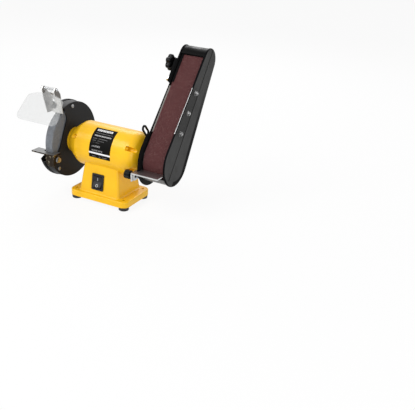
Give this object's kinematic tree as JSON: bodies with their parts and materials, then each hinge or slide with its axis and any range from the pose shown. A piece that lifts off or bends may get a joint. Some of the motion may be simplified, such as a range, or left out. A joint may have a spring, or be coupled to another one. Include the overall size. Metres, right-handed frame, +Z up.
{
  "type": "bench grinder",
  "caption": "Bench grinder with a guarded grinding wheel on the left of its motor and a leaning belt sanding arm on the right, on a pedestal base with rubber feet.",
  "frame": {"origin": "centre of the bench-bolt pattern in the plane of the undersides of the feet", "axes": "+X along the motor shaft from the grinding wheel towards the belt arm, +Y towards the back, +Z up; the operator stands at -Y"},
  "size_m": [0.3333, 0.2845, 0.3446],
  "materials": {
    "yellow_paint": "glossy enamel with fine orange peel",
    "black_paint": "semi-gloss black enamel",
    "grey_band": "light grey satin paint",
    "zinc": "bright zinc plating",
    "yellow_zinc": "yellow passivated zinc",
    "bare_steel": "ground steel",
    "lamination": "varnished laminations",
    "copper": "enamelled wire",
    "aluminium": "machined",
    "abrasive_wheel": "bonded grit, matt",
    "abrasive_cloth": "closed coat of brown grit on cloth",
    "clear_plastic": "clear, polished",
    "black_plastic": "moulded, fine grain",
    "grey_plastic": "moulded",
    "label": "printed film, bare of text",
    "rubber": "matt",
    "blotter_paper": "soft card"
  },
  "bodies": {
    "stand": {"base_casting": "yellow_paint", "rubber_feet": "rubber", "base_plate": "zinc", "base_screws": "zinc", "switch_housing": "black_plastic", "cord_gland": "rubber", "run_capacitor": "grey_plastic", "capacitor_clip": "zinc", "terminal_block": "grey_plastic", "motor_housing": "yellow_paint", "rating_plate": "label", "left_end_bell": "yellow_paint", "right_end_bell": "yellow_paint", "end_bell_screws": "zinc", "stator_core": "lamination", "stator_windings": "copper", "bearing_outer_races": "bare_steel", "bearing_balls": "bare_steel", "guard_inner": "black_paint", "guard_cover": "black_paint", "guard_cover_screws": "zinc", "guard_mount_screws": "zinc", "deflector_bolt": "black_paint", "tool_rest_bolt": "zinc"},
    "spindle": {"rotor_core": "lamination", "motor_shaft": "bare_steel", "bearing_inner_races": "bare_steel", "grinding_wheel": "abrasive_wheel", "wheel_bush": "grey_plastic", "wheel_blotters": "blotter_paper", "inner_clamp_flange": "zinc", "outer_clamp_flange": "zinc", "wheel_nut": "zinc", "drive_drum": "aluminium", "drum_nut": "zinc"},
    "rocker": {"switch_rocker": "black_plastic"},
    "deflector": {"spark_deflector": "yellow_zinc", "shield_rod": "zinc"},
    "shield": {"eye_shield": "clear_plastic"},
    "wheel_rest": {"tool_rest": "yellow_zinc"},
    "arm": {"arm_back_plate": "black_paint", "arm_lower_band": "grey_band", "arm_top_guard": "black_paint", "side_cover": "black_paint", "platen": "bare_steel", "platen_bolts": "zinc", "sanding_belt": "abrasive_cloth", "arm_collar": "black_paint", "arm_bolts": "zinc", "arm_clamp_bolt": "zinc", "work_rest_bracket": "zinc"},
    "carrier": {"idler_carrier": "black_paint", "idler_axle": "zinc"},
    "idler": {"idler_wheel": "aluminium", "idler_bearings": "bare_steel"},
    "lever": {"tension_lever": "black_paint"},
    "tracking": {"tracking_knob": "black_plastic"},
    "work_rest": {"belt_work_rest": "zinc"},
    "work_knob": {"work_rest_knob": "black_plastic", "work_rest_washers": "zinc"}
  },
  "joints": [
    {"name": "spindle_spin", "type": "hinge", "parent": "stand", "child": "spindle", "pos_m": [0, 0, 0.121], "axis": [1, 0, 0], "continuous": true},
    {"name": "arm_tilt", "type": "hinge", "parent": "stand", "child": "arm", "pos_m": [0.1, 0, 0.121], "axis": [1, 0, 0], "range_deg": [-54, 34]},
    {"name": "tension_lever_turn", "type": "hinge", "parent": "arm", "child": "lever", "pos_m": [0.0965, 0.03302, 0.16868], "axis": [1, 0, 0], "range_deg": [-60, 0]},
    {"name": "idler_carrier_slide", "type": "slide", "parent": "arm", "child": "carrier", "axis": [0, 0.5693, 0.8221], "range_m": [-0.0048, 0]},
    {"name": "idler_spin", "type": "hinge", "parent": "carrier", "child": "idler", "pos_m": [0.136, 0.13492, 0.31585], "axis": [1, 0, 0], "continuous": true},
    {"name": "tracking_knob_turn", "type": "hinge", "parent": "carrier", "child": "tracking", "pos_m": [0.084, 0.10564, 0.30693], "axis": [1, 0, 0], "range_deg": [-180, 180]},
    {"name": "work_rest_slide", "type": "slide", "parent": "arm", "child": "work_rest", "axis": [0, 1, 0], "range_m": [-0.008, 0.0015]},
    {"name": "work_rest_knob_turn", "type": "hinge", "parent": "arm", "child": "work_knob", "pos_m": [0.088, -0.061, 0.097], "axis": [1, 0, 0], "range_deg": [0, 270]},
    {"name": "tool_rest_slide", "type": "slide", "parent": "stand", "child": "wheel_rest", "axis": [0, 1, 0], "range_m": [-0.006, 0.0015]},
    {"name": "deflector_slide", "type": "slide", "parent": "stand", "child": "deflector", "axis": [0, -0.1788, 0.9839], "range_m": [-0.008, 0.004]},
    {"name": "eye_shield_tilt", "type": "hinge", "parent": "deflector", "child": "shield", "pos_m": [-0.1105, -0.06837, 0.24828], "axis": [1, 0, 0], "range_deg": [-75, 4]},
    {"name": "switch_rock", "type": "hinge", "parent": "stand", "child": "rocker", "pos_m": [-0.0035, -0.04012, 0.05059], "axis": [1, 0, 0], "range_deg": [0, 14]}
  ],
  "couplings": [
    {"joint": "tension_lever_turn", "follows": "idler_carrier_slide", "rad_per_m": 218.16},
    {"joint": "idler_spin", "follows": "spindle_spin", "ratio": 1.9099}
  ]
}
